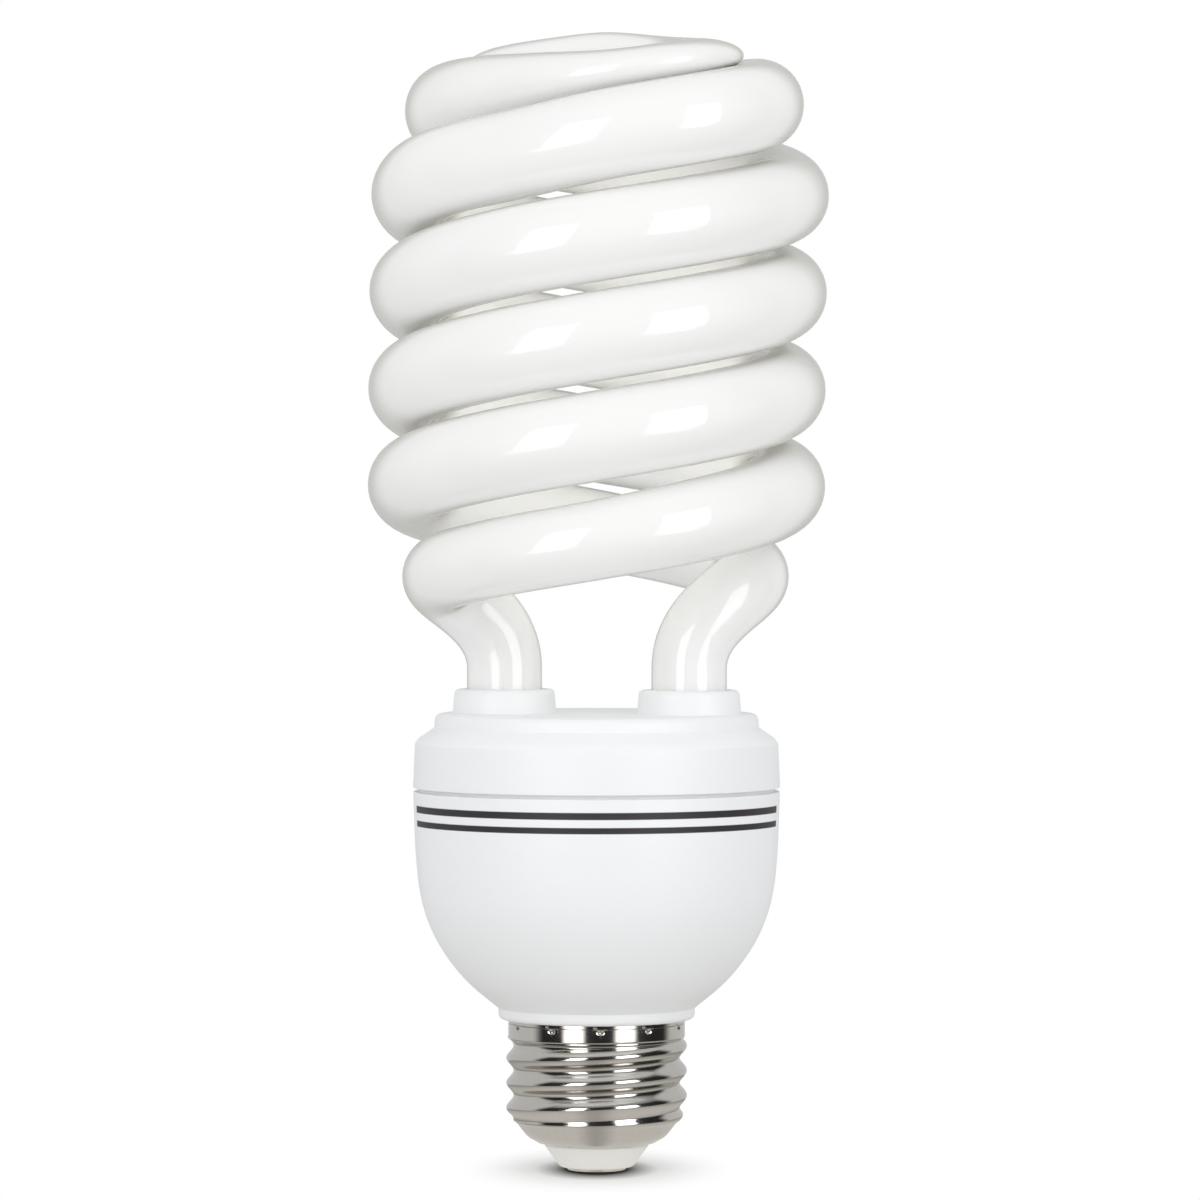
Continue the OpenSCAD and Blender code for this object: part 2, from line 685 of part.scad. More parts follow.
// Ferrite core of the choke: two backs, two outer legs and a middle leg
module choke_core() {
    window_foot = -(core_size[2] + core_window) / 2;
    side_window = (core_size[0] - core_leg) / 2 - core_web;
    color([0.25, 0.25, 0.27])
        difference() {
            core_outline(0);
            for (s = [-1, 1])
                translate(core_place + [s * (core_leg + side_window) / 2, 0, window_foot])
                    translate([-side_window / 2, -core_size[1], 0])
                        cube([side_window, core_size[1] * 2, core_window]);
            for (start = [core_leg / 2, -core_size[1]])
                translate(core_place + [-core_size[0] / 2 + core_web, start, window_foot])
                    cube([core_size[0] - core_web * 2, core_size[1] - core_leg / 2, core_window]);
        }
}

module core_sleeve(inner, outer, z0, z1) {
    translate(core_place + [0, 0, z0])
        difference() {
            translate([-outer[0] / 2, -outer[1] / 2, 0]) cube([outer[0], outer[1], z1 - z0]);
            translate([-inner[0] / 2, -inner[1] / 2, z0 - z1]) cube([inner[0], inner[1], (z1 - z0) * 3]);
        }
}

core_gap = core_size[0] - core_web * 2;
window_top = -(core_size[2] - core_window) / 2;
window_low = -(core_size[2] + core_window) / 2;
bobbin_in = [core_leg, core_leg];
bobbin_out = [core_leg + bobbin_wall * 2, core_leg + bobbin_wall * 2];

// Moulded bobbin round the middle leg
module choke_bobbin() {
    flange = [core_gap, core_size[1]];
    color([0.2, 0.2, 0.2]) {
        core_sleeve(bobbin_in, bobbin_out, window_low, window_top);
        core_sleeve(bobbin_in, flange, window_low, window_low + bobbin_wall);
        core_sleeve(bobbin_in, flange, window_top - bobbin_wall, window_top);
    }
}

// Copper winding between the flanges of the bobbin
module choke_winding() {
    color([0.72, 0.4, 0.2])
        core_sleeve(bobbin_out, [core_gap - bobbin_wall, core_size[1] - bobbin_wall * 2],
            window_low + bobbin_wall, window_top - bobbin_wall);
}

// Aluminium can of the smoothing capacitor, hanging into the bowl
module smoothing_capacitor() {
    color([0.8, 0.8, 0.82])
        translate([smoother_place[0], smoother_place[1], board_foot - smoother_length])
            cylinder(r = smoother_r, h = smoother_length);
}

// Its sleeve, lapped over the lower end
module capacitor_sleeve() {
    color([0.1, 0.12, 0.3])
        translate([smoother_place[0], smoother_place[1], board_foot - smoother_length - sleeve_thick])
            difference() {
                cylinder(r = smoother_r + sleeve_thick, h = smoother_length + sleeve_thick);
                translate([0, 0, sleeve_thick]) cylinder(r = smoother_r, h = smoother_length * 2);
                translate([0, 0, -sleeve_thick]) cylinder(r = smoother_r - sleeve_lap, h = sleeve_thick * 3);
            }
}

module film_capacitor(size, place) {
    translate([place[0], place[1], board_foot - size[2]])
        difference() {
            translate([-size[0] / 2, -size[1] / 2, 0]) cube(size);
            for (s = [-1, 1])
                translate([s * size[0] / 2, 0, 0])
                    rotate([0, 45, 0])
                        cube([film_round, size[1] * 2, film_round], center = true);
        }
}

// Dipped film capacitor across the tube
module resonance_capacitor() {
    color([0.55, 0.25, 0.12]) film_capacitor(resonance_size, resonance_place);
}

// Smaller film capacitor in line with the choke
module coupling_capacitor() {
    color([0.6, 0.28, 0.12]) film_capacitor(coupling_size, coupling_place);
}

// Ferrite ring that drives the two transistors
module drive_ring() {
    color([0.3, 0.32, 0.3])
        translate([ring_place[0], ring_place[1], board_foot - ring_thick - ring_wire_r * 2])
            difference() {
                cylinder(r = ring_r, h = ring_thick);
                translate([0, 0, -ring_thick]) cylinder(r = ring_bore_r, h = ring_thick * 3);
            }
}

module ring_loop() {
    high = ring_thick + ring_wire_r * 4;
    bore_in = ring_bore_r * 0.98;
    translate([bore_in - ring_wire_r * 2, -ring_wire_r, -ring_wire_r * 2])
        difference() {
            cube([ring_r - bore_in + ring_wire_r * 4, ring_wire_r * 2, high]);
            translate([ring_wire_r * 2, -ring_wire_r, ring_wire_r * 2])
                cube([ring_r - bore_in, ring_wire_r * 4, ring_thick]);
        }
}

// Three windings round the drive ring
module drive_windings() {
    color([0.75, 0.45, 0.2])
        translate([ring_place[0], ring_place[1], board_foot - ring_thick - ring_wire_r * 2])
            for (a = [0, 45, 120, 165, 240, 285])
                rotate([0, 0, a]) ring_loop();
}

// Two power transistors with a thinner tab at their free end
module power_transistors() {
    color([0.15, 0.15, 0.16])
        for (p = transistor_places)
            translate([p[0] * board_r, p[1] * board_r, board_foot - transistor_size[2]])
                rotate([0, 0, p[2]])
                    difference() {
                        translate([-transistor_size[0] / 2, -transistor_size[1] / 2, 0])
                            cube(transistor_size);
                        translate([-transistor_size[0], 0, -transistor_tab])
                            cube([transistor_size[0] * 2, transistor_size[1], transistor_tab * 2]);
                    }
}

// Drum core of the line choke
module line_choke_core() {
    color([0.28, 0.28, 0.3])
        translate([line_choke_place[0], line_choke_place[1], board_foot - line_choke_rise])
            rotate_extrude()
                polygon([
                    [0, 0], [line_choke_r, 0], [line_choke_r, line_choke_groove],
                    [line_choke_r - line_choke_groove, line_choke_groove],
                    [line_choke_r - line_choke_groove, line_choke_rise - line_choke_groove],
                    [line_choke_r, line_choke_rise - line_choke_groove], [line_choke_r, line_choke_rise],
                    [0, line_choke_rise]
                ]);
}

// Winding in the groove of the drum
module line_choke_winding() {
    color([0.72, 0.4, 0.2])
        translate([line_choke_place[0], line_choke_place[1], board_foot - line_choke_rise])
            rotate_extrude()
                translate([line_choke_r - line_choke_groove, line_choke_groove])
                    square([line_choke_groove * 0.85, line_choke_rise - line_choke_groove * 2]);
}

// Four rectifier diodes that lie on the board
module rectifier_diodes() {
    color([0.12, 0.12, 0.13])
        for (k = [-1.5 : 1.5])
            translate([diode_place[0] + k * diode_step, diode_place[1] - diode_length / 2, board_top + diode_r])
                rotate([-90, 0, 0])
                    cylinder(r = diode_r, h = diode_length);
}

// Small resistors that lie on the board
module resistors() {
    color([0.75, 0.65, 0.5])
        for (p = resistor_places)
            translate([p[0] * board_r, p[1] * board_r, board_top + resistor_r])
                rotate([0, 0, p[2]])
                    rotate([0, 90, 0])
                        cylinder(r = resistor_r, h = resistor_length, center = true);
}

// Fusible resistor in line with the lead to the centre contact
module fusible_resistor() {
    color([0.35, 0.5, 0.4])
        translate([0, 0, fuse_foot]) cylinder(r = fuse_r, h = fuse_length);
}

// Lead from the board to the fusible resistor and on to the contact
module contact_lead() {
    eyelet_top = insulator_foot + eyelet_length;
    color([0.8, 0.8, 0.8]) {
        translate([0, 0, eyelet_top]) cylinder(r = supply_lead_r, h = fuse_foot - eyelet_top);
        translate([0, 0, fuse_foot + fuse_length])
            cylinder(r = supply_lead_r, h = board_foot - fuse_foot - fuse_length);
    }
}

// Lead from the board down the neck and out to the shell
module shell_lead() {
    color([0.2, 0.2, 0.2]) {
        translate([shell_lead_x, 0, shell_lead_foot])
            cylinder(r = supply_lead_r, h = board_foot - shell_lead_foot);
        translate([shell_lead_x, 0, shell_lead_foot + supply_lead_r])
            rotate([0, 90, 0])
                cylinder(r = supply_lead_r, h = shell_in - shell_lead_x - spigot_gap);
    }
}

glass_spiral();
tube_cement();
upper_cover();
lower_housing();
screw_shell();
cap_insulator();
centre_contact();
driver_board();
lead_pins();
filament_leads();
choke_core();
choke_bobbin();
choke_winding();
smoothing_capacitor();
capacitor_sleeve();
resonance_capacitor();
coupling_capacitor();
drive_ring();
drive_windings();
power_transistors();
line_choke_core();
line_choke_winding();
rectifier_diodes();
resistors();
fusible_resistor();
contact_lead();
shell_lead();
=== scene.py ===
import math

import bmesh
import bpy
from mathutils import Matrix, Vector


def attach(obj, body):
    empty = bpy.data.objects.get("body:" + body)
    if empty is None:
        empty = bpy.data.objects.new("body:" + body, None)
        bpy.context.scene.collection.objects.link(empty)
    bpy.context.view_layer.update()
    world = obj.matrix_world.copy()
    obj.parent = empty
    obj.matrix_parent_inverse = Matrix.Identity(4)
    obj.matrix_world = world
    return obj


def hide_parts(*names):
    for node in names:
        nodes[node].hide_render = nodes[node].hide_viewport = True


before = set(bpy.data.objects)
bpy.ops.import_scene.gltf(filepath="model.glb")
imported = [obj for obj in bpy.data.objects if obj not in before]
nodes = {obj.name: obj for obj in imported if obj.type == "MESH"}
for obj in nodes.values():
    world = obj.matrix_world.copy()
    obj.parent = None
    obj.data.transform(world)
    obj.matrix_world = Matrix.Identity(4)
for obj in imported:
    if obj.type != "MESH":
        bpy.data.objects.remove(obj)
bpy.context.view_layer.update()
MM = 0.001

# Glass spiral. One glass tube 12.9 mm thick, softened and wound as a double
# helix from an S-shaped crown down to two narrower legs. Its white coat lies
# inside the clear glass, so the colour is matt and the surface is glossy.
TUBE_R = 6.43
COIL_R = 26.93
HALF_PITCH = 14.16
NODE_TURN = 30
COIL_TURN = 540
CROWN_TURN = 450
COIL_TOP = 142.3
COIL_FOOT = COIL_TOP - HALF_PITCH * COIL_TURN / 180
CROWN_RISE = 19.7
CROWN_SHIFT = 1.1
FOOT_R = 22.9
FOOT_DROP = 13.2
BACK_LIFT, BACK_SWELL = 1.2, 0.3
LEG_R = 5.5
LEG_X, LEG_Y = 13.48, 2.5
LEG_TOP, LEG_END = 73.3, 61.0
BEND_OUT, BEND_IN = 16.0, 10.0
NODE_STEPS = 9
BEND_STEPS = 34
LEG_STEPS = 8
TUBE_SIDES = 48
UP = Vector((0, 0, 1))
# Across, forward, fall, tube width and tube height at even steps of the crown
CROWN_SHARES = (
    (0, 0, 0, 0.88, 0.62), (0.335, -0.125, 0, 0.975, 0.49), (0.49, -0.32, 0.002, 1.025, 0.4),
    (0.47, -0.54, 0.032, 1.025, 0.41), (0.31, -0.685, 0.094, 1.005, 0.46),
    (0.02, -0.685, 0.166, 1, 0.53), (-0.34, -0.52, 0.226, 1, 0.7),
    (-0.665, -0.2, 0.28, 1, 0.88), (-0.835, 0.225, 0.341, 1, 1),
    (-0.77, 0.65, 0.421, 1, 1), (-0.47, 0.925, 0.518, 1, 1), (-0.02, 0.96, 0.628, 1, 1),
    (0.43, 0.8, 0.754, 1, 1), (0.857, 0.495, 0.87, 1, 1), (1, 0, 1, 1, 1),
)
# Closing in, fall and tube size over the last half turn; the last only guides the bend
FOOT_SHARES = (
    (0.09, 0.2, 0.965), (0.2, 0.39, 0.93), (0.35, 0.58, 0.885),
    (0.55, 0.745, 0.88), (0.77, 0.89, 0.88), (1, 1, 0.88),
)


def spline(a, b, c, d, f):
    """A point between rows b and c on a smooth curve through all four."""
    return [
        0.5 * (
            2 * q + (r - p) * f + (2 * p - 5 * q + 4 * r - s) * f ** 2
            + (3 * q - p - 3 * r + s) * f ** 3)
        for p, q, r, s in zip(a, b, c, d)
    ]


def turned_row(turn, radius, height, size):
    angle = math.radians(90 - turn)
    return (radius * math.cos(angle), radius * math.sin(angle), height, size, size)


def guide_rows():
    """Centre and half sizes of the tube at even turns, from the crown's middle to a leg's bend."""
    rows = []
    for across, forward, fall, wide, tall in CROWN_SHARES:
        height = COIL_TOP + CROWN_RISE * (1 - fall)
        rows.append((across * COIL_R, forward * COIL_R, height, wide * TUBE_R, tall * TUBE_R))
    for k in range(1, COIL_TURN // NODE_TURN + 1):
        fall = HALF_PITCH * NODE_TURN * k / 180
        rows.append(turned_row(CROWN_TURN + NODE_TURN * k, COIL_R, COIL_TOP - fall, TUBE_R))
    for k, (inward, fall, size) in enumerate(FOOT_SHARES, 1):
        turn = CROWN_TURN + COIL_TURN + NODE_TURN * k
        radius = COIL_R + (FOOT_R - COIL_R) * inward
        rows.append(turned_row(turn, radius, COIL_FOOT - FOOT_DROP * fall, TUBE_R * size))
    return rows


def wound_stations(rows):
    """Centre, up direction and half sizes of each ring along the rows, except the guiding last one."""
    before = (-rows[1][0], -rows[1][1], *rows[1][2:])
    guided = [before, *rows]
    wound = [
        spline(*guided[i - 1:i + 3], k / NODE_STEPS)
        for i in range(1, len(rows) - 1) for k in range(NODE_STEPS)
    ]
    wound.append(rows[-2])
    return [(Vector(row[:3]), UP, row[3], row[4]) for row in wound]


def leg_stations(start, towards, size):
    """Rings round the bend that turns the tube downwards, and along its upright leg."""
    level = Vector((towards.x, towards.y, 0)).normalized()
    finish = Vector((LEG_X, -LEG_Y, LEG_TOP))
    pull_out = start + towards * BEND_OUT
    pull_in = finish + UP * BEND_IN
    stations = []
    for k in range(1, BEND_STEPS + 1):
        f = k / BEND_STEPS
        g = 1 - f
        centre = g ** 3 * start + 3 * g * g * f * pull_out + 3 * g * f * f * pull_in + f ** 3 * finish
        thinner = size + (LEG_R - size) * f
        stations.append((centre, (UP * g + level * f).normalized(), thinner, thinner))
    for k in range(1, LEG_STEPS + 1):
        height = LEG_TOP + (LEG_END - LEG_TOP) * k / LEG_STEPS
        stations.append((Vector((LEG_X, -LEG_Y, height)), level, LEG_R, LEG_R))
    return stations


def set_sideways(centre):
    """The coil leans to one side towards its crown."""
    share = max(centre.z - COIL_FOOT, 0) / (COIL_TOP + CROWN_RISE - COIL_FOOT)
    return centre + Vector((CROWN_SHIFT * share * share, 0, 0))


def raised_behind(stations):
    """The last turn stands a little higher behind the lamp, where it hides the gap in front."""
    raised = []
    for centre, up, half_width, half_height in stations:
        angle = math.atan2(centre.y, centre.x)
        last_turn = LEG_TOP < centre.z < COIL_FOOT
        lift = max(math.sin(angle), 0) ** 2 if last_turn else 0
        lifted = centre + UP * (BACK_LIFT * lift)
        raised.append((lifted, up, half_width, half_height + BACK_SWELL * lift))
    return raised


def ring_places(stations):
    """One matrix per ring, which puts a unit circle round the tube's centre line."""
    places = []
    last = len(stations) - 1
    for i, (centre, up, half_width, half_height) in enumerate(stations):
        if i == 0:
            heading = UP
        elif i == last:
            heading = -UP
        else:
            heading = (stations[i + 1][0] - stations[i - 1][0]).normalized()
        across = heading.cross(up).normalized()
        upward = across.cross(heading)
        ring = Matrix((across * half_width, upward * half_height, heading)).transposed()
        places.append(Matrix.Scale(MM, 4) @ Matrix.Translation(centre) @ ring.to_4x4())
    return places


def object_of(name, bm):
    """An object at the origin with the bmesh as its mesh."""
    mesh = bpy.data.meshes.new(name)
    bm.to_mesh(mesh)
    bm.free()
    thing = bpy.data.objects.new(name, mesh)
    bpy.context.scene.collection.objects.link(thing)
    return thing


def smooth_faces(piece, sharp_from=35):
    piece.data.shade_smooth()
    piece.data.set_sharp_from_angle(angle=math.radians(sharp_from))


def finished(name, bm, material, sharp_from=35):
    """Turns a bmesh into a piece of the lamp with its material, riding on the lamp's one body."""
    bmesh.ops.recalc_face_normals(bm, faces=bm.faces)
    piece = object_of(name, bm)
    piece.data.materials.append(material)
    smooth_faces(piece, sharp_from)
    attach(piece, "root")
    return piece


def new_material(name):
    material = bpy.data.materials.new(name)
    material.use_nodes = True
    return material


def main_shader(material):
    return material.node_tree.nodes["Principled BSDF"]


# Places of a Mix node's sockets for colours and for plain values
COLOUR_A, COLOUR_B, COLOUR_MIXED = 6, 7, 2
VALUE_A, VALUE_B, VALUE_MIXED = 2, 3, 0
GREY = (0.5, 0.5, 0.5, 1)
GRAIN_DETAIL = 4


def grain_group():
    """Fine mottling shared by every finish: a tone to colour with, a roughness and a height."""
    group = bpy.data.node_groups.new("fine_grain", "ShaderNodeTree")
    face = group.interface
    for name, value in (("Scale", 400.0), ("Smooth", 0.3), ("Rough", 0.5)):
        socket = face.new_socket(name, in_out="INPUT", socket_type="NodeSocketFloat")
        socket.default_value = value
    for name in ("Light", "Dark"):
        socket = face.new_socket(name, in_out="INPUT", socket_type="NodeSocketColor")
        socket.default_value = GREY
    face.new_socket("Color", in_out="OUTPUT", socket_type="NodeSocketColor")
    for name in ("Roughness", "Height"):
        face.new_socket(name, in_out="OUTPUT", socket_type="NodeSocketFloat")
    enter = group.nodes.new("NodeGroupInput")
    leave = group.nodes.new("NodeGroupOutput")
    place = group.nodes.new("ShaderNodeTexCoord")
    noise = group.nodes.new("ShaderNodeTexNoise")
    noise.inputs["Detail"].default_value = GRAIN_DETAIL
    tone = group.nodes.new("ShaderNodeMix")
    tone.data_type = "RGBA"
    shine = group.nodes.new("ShaderNodeMix")
    link = group.links.new
    link(place.outputs["Object"], noise.inputs["Vector"])
    link(enter.outputs["Scale"], noise.inputs["Scale"])
    link(noise.outputs["Fac"], tone.inputs["Factor"])
    link(enter.outputs["Light"], tone.inputs[COLOUR_A])
    link(enter.outputs["Dark"], tone.inputs[COLOUR_B])
    link(noise.outputs["Fac"], shine.inputs["Factor"])
    link(enter.outputs["Smooth"], shine.inputs[VALUE_A])
    link(enter.outputs["Rough"], shine.inputs[VALUE_B])
    link(tone.outputs[COLOUR_MIXED], leave.inputs["Color"])
    link(shine.outputs[VALUE_MIXED], leave.inputs["Roughness"])
    link(noise.outputs["Fac"], leave.inputs["Height"])
    return group


grain = grain_group()


def grained(name, scale, light, dark, smooth, rough, height=0.0, metallic=0.0, coat=0.0):
    """A material whose colour and roughness come from the shared grain."""
    material = new_material(name)
    tree = material.node_tree
    shader = main_shader(material)
    node = tree.nodes.new("ShaderNodeGroup")
    node.node_tree = grain
    node.inputs["Scale"].default_value = scale
    node.inputs["Light"].default_value = (*light, 1)
    node.inputs["Dark"].default_value = (*dark, 1)
    node.inputs["Smooth"].default_value = smooth
    node.inputs["Rough"].default_value = rough
    tree.links.new(node.outputs["Color"], shader.inputs["Base Color"])
    tree.links.new(node.outputs["Roughness"], shader.inputs["Roughness"])
    shader.inputs["Metallic"].default_value = metallic
    shader.inputs["Coat Weight"].default_value = coat
    if height:
        bump = tree.nodes.new("ShaderNodeBump")
        bump.inputs["Strength"].default_value = 1.0
        bump.inputs["Distance"].default_value = height * MM
        tree.links.new(node.outputs["Height"], bump.inputs["Height"])
        tree.links.new(bump.outputs["Normal"], shader.inputs["Normal"])
    return material


def ramp(tree, value, low, high, least=0.0, most=1.0, kind="SMOOTHSTEP"):
    """A value that goes from least to most while the given one goes from low to high."""
    node = tree.nodes.new("ShaderNodeMapRange")
    node.interpolation_type = kind
    node.inputs["From Min"].default_value = low
    node.inputs["From Max"].default_value = high
    node.inputs["To Min"].default_value = least
    node.inputs["To Max"].default_value = most
    tree.links.new(value, node.inputs["Value"])
    return node.outputs["Result"]


def tint(material, mask, colour):
    """Lays a colour over the material's own where the mask says so."""
    tree = material.node_tree
    base = main_shader(material).inputs["Base Color"]
    mix = tree.nodes.new("ShaderNodeMix")
    mix.data_type = "RGBA"
    mix.inputs[COLOUR_B].default_value = (*colour, 1)
    tree.links.new(mask, mix.inputs["Factor"])
    tree.links.new(base.links[0].from_socket, mix.inputs[COLOUR_A])
    tree.links.new(mix.outputs[COLOUR_MIXED], base)


# Painted shade along the glass's outline: where the tube turns away from the view, its colour goes
# towards a dark olive grey.
RIM_FROM, RIM_TO, RIM_MOST = 0.62, 0.88, 0.7
EDGE_SHADE_TINT = (0.47, 0.455, 0.38)
coated_glass = grained(
    "coated_glass", scale=60, light=(0.95, 0.95, 0.945), dark=(0.93, 0.93, 0.92),
    smooth=0.5, rough=0.62, coat=1.0)
glass_shader = main_shader(coated_glass)
glass_shader.inputs["Coat Roughness"].default_value = 0.008
glass_shader.inputs["Coat IOR"].default_value = 1.5
glass_shader.inputs["Specular IOR Level"].default_value = 0.2
# Painted shade: this mask grows towards the outline and darkens the coat's colour there.
edge_on = coated_glass.node_tree.nodes.new("ShaderNodeLayerWeight")
edge_on.inputs["Blend"].default_value = 0.5
edge_shade_share = ramp(coated_glass.node_tree, edge_on.outputs["Facing"], RIM_FROM, RIM_TO, most=RIM_MOST)
tint(coated_glass, edge_shade_share, EDGE_SHADE_TINT)

rows = guide_rows()
heading_down = (Vector(rows[-1][:3]) - Vector(rows[-3][:3])).normalized()
arm = wound_stations(rows) + leg_stations(Vector(rows[-2][:3]), heading_down, rows[-2][3])
half_turn = Matrix.Rotation(math.pi, 3, "Z")
other_arm = [(half_turn @ c, half_turn @ u, w, h) for c, u, w, h in arm[:0:-1]]
route = [(set_sideways(c), u, w, h) for c, u, w, h in other_arm + raised_behind(arm)]
places = ring_places(route)
bm = bmesh.new()
bmesh.ops.create_circle(bm, segments=TUBE_SIDES, radius=1, matrix=places[0])
rim = list(bm.edges)
bmesh.ops.contextual_create(bm, geom=rim)
for before, after in zip(places, places[1:]):
    grown = bmesh.ops.extrude_edge_only(bm, edges=rim)["geom"]
    rim = [e for e in grown if isinstance(e, bmesh.types.BMEdge)]
    ring = [v for v in grown if isinstance(v, bmesh.types.BMVert)]
    bmesh.ops.transform(bm, matrix=after @ before.inverted(), verts=ring)
bmesh.ops.contextual_create(bm, geom=rim)
spiral = finished("spiral_glass", bm, coated_glass)
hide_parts("glass_spiral")

# Upper cover. A white moulding with a stepped deck, a sloping shoulder and a
# collar round each leg of the tube; it snaps over the spigot of the housing.
WALL = 1.8
FIT_GAP = 0.05
COVER_TOP = 66.7
DECK_R, DECK_FOOT_R, DECK_FOOT = 23.64, 23.69, 64.65
DECK_INSIDE_DROP = 1.0
SHOULDER_R, SHOULDER_FOOT = 25.95, 63.1
SKIRT_TOP_R, SKIRT_TOP_DROP = 26.52, 0.75
SKIRT_R, SKIRT_FOOT = 26.81, 55.9
SPIGOT_R, SPIGOT_TOP = 25.9, 58.93
COLLAR_R, COLLAR_FOOT_R = 7.3, 7.6
COLLAR_TOP = 70.2
COLLAR_BORE, COLLAR_LEAD_IN = 5.95, 0.35
DECK_EASE, STEP_EASE, SHOULDER_EASE, SKIRT_EASE = 1.2, 0.25, 0.35, 0.5
COLLAR_EASE, LIP_EASE = 0.9, 0.15
SPIN_STEPS, SMALL_SPIN_STEPS = 160, 96
EASE_STEPS = 6
MERGE_DISTANCE = 0.002


def eased(outline):
    """Rounds the corners of an outline of (radius, height, rounding) rows."""
    points = []
    count = len(outline)
    for i, (r, z, rounding) in enumerate(outline):
        if not rounding:
            points.append((r, z))
            continue
        corner = Vector((r, z))
        before = Vector(outline[i - 1][:2]) - corner
        after = Vector(outline[(i + 1) % count][:2]) - corner
        reach = rounding / math.tan(before.angle(after) / 2)
        start = corner + before.normalized() * reach
        finish = corner + after.normalized() * reach
        for k in range(EASE_STEPS + 1):
            f = k / EASE_STEPS
            p = start * (1 - f) ** 2 + corner * 2 * f * (1 - f) + finish * f * f
            points.append((p.x, p.y))
    return points


def spun(bm, outline, axis_x=0.0, axis_y=0.0, steps=SPIN_STEPS, closed=True):
    """Spins an outline of (radius, height) rows a full turn about an upright axis."""
    verts = [bm.verts.new(((axis_x + r) * MM, axis_y * MM, z * MM)) for r, z in outline]
    pairs = list(zip(verts, verts[1:]))
    if closed:
        pairs.append((verts[-1], verts[0]))
    edges = [bm.edges.new(pair) for pair in pairs]
    bmesh.ops.spin(
        bm, geom=verts + edges, cent=(axis_x * MM, axis_y * MM, 0), axis=(0, 0, 1), dvec=(0, 0, 0),
        angle=2 * math.pi, steps=steps, use_merge=True)
    bmesh.ops.remove_doubles(bm, verts=bm.verts, dist=MERGE_DISTANCE * MM)


def cut_with(piece, tool, operation):
    """Joins a tool's solid to a piece, or cuts it away, and drops the tool."""
    change = piece.modifiers.new(operation, "BOOLEAN")
    change.operation = operation
    change.solver = "EXACT"
    change.object = tool
    bpy.context.view_layer.update()
    result = piece.evaluated_get(bpy.context.evaluated_depsgraph_get())
    changed = bpy.data.meshes.new_from_object(result)
    piece.modifiers.clear()
    piece.data = changed
    bpy.data.objects.remove(tool)


def loose_tool(bm):
    bmesh.ops.recalc_face_normals(bm, faces=bm.faces)
    return object_of("tool", bm)


def white_moulding(name):
    """White plastic with the faint texture of its mould."""
    plastic = grained(
        name, scale=900, light=(0.90, 0.915, 0.93), dark=(0.885, 0.90, 0.915),
        smooth=0.46, rough=0.54, height=0.012)
    main_shader(plastic).inputs["Specular IOR Level"].default_value = 0.35
    return plastic


white_plastic = white_moulding("white_plastic")
cover_outline = eased([
    (0, COVER_TOP, 0), (DECK_R, COVER_TOP, DECK_EASE), (DECK_FOOT_R, DECK_FOOT, STEP_EASE),
    (SHOULDER_R, SHOULDER_FOOT, SHOULDER_EASE), (SKIRT_TOP_R, SHOULDER_FOOT - SKIRT_TOP_DROP, SKIRT_EASE),
    (SKIRT_R, SKIRT_FOOT, LIP_EASE), (SPIGOT_R + FIT_GAP, SKIRT_FOOT, LIP_EASE),
    (SPIGOT_R + FIT_GAP, SPIGOT_TOP, 0), (SKIRT_R - WALL, SPIGOT_TOP, 0),
    (SKIRT_R - WALL, SHOULDER_FOOT - WALL, 0), (DECK_R - WALL, DECK_FOOT - DECK_INSIDE_DROP, 0),
    (DECK_R - WALL, COVER_TOP - WALL, 0), (0, COVER_TOP - WALL, 0),
])
bm = bmesh.new()
spun(bm, cover_outline, closed=False)
cover = finished("stepped_cover", bm, white_plastic)
collar_outline = eased([
    (0, COVER_TOP - WALL / 2, 0), (COLLAR_FOOT_R, COVER_TOP - WALL / 2, 0),
    (COLLAR_FOOT_R, COVER_TOP, 0), (COLLAR_R, COLLAR_TOP, COLLAR_EASE), (0, COLLAR_TOP, 0),
])
bore_outline = [
    (0, COVER_TOP - 2 * WALL), (COLLAR_BORE, COVER_TOP - 2 * WALL),
    (COLLAR_BORE, COLLAR_TOP - COLLAR_LEAD_IN), (COLLAR_BORE + COLLAR_LEAD_IN, COLLAR_TOP),
    (COLLAR_BORE + COLLAR_LEAD_IN, COLLAR_TOP + WALL), (0, COLLAR_TOP + WALL),
]
for outline, operation in ((collar_outline, "UNION"), (bore_outline, "DIFFERENCE")):
    for side in (1, -1):
        bm = bmesh.new()
        spun(bm, outline, side * LEG_X, -side * LEG_Y, steps=SMALL_SPIN_STEPS, closed=False)
        cut_with(cover, loose_tool(bm), operation)
smooth_faces(cover)
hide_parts("upper_cover")

# Lower housing. A white moulded bowl with a ring round its neck, a spigot that
# enters the cover, and two dark stripes printed below the joint, front and back.
RIM_R, RIM_TOP = 26.78, 55.33
BOWL_R = 26.57
BOWL_TOP, BOWL_FOOT = 49.05, 23.8
# Radius at even steps down the bowl
BOWL_SHARES = (1, 0.992, 0.978, 0.95, 0.899, 0.819, 0.706, 0.546)
BOWL_WALL = WALL * 1.15
BOWL_STEPS = 42
NECK_R, NECK_FOOT = 14.35, 22.04
TONGUE_R, TONGUE_FOOT, TONGUE_WALL = 12.5, 19.94, 1.3
SPIGOT_EASE, RIM_EASE, NECK_EASE = 0.3, 0.15, 1.0
# Foot and top of each stripe
STRIPES = ((52.47, 53.48), (50.45, 51.34))
STRIPE_BLUR = 0.05
STRIPE_END, STRIPE_END_BLUR = 5.5, 0.15
PAST_HOUSING = 100
STRIPE_INK = (0.035, 0.033, 0.035)


def bowl_radius(f):
    """Outer radius at a share of the way down the bowl."""
    last = len(BOWL_SHARES) - 1
    i = min(int(f * last), last - 1)
    shares = (BOWL_SHARES[0], *BOWL_SHARES, 2 * BOWL_SHARES[last] - BOWL_SHARES[last - 1])
    return BOWL_R * spline(*[(s,) for s in shares[i:i + 4]], f * last - i)[0]


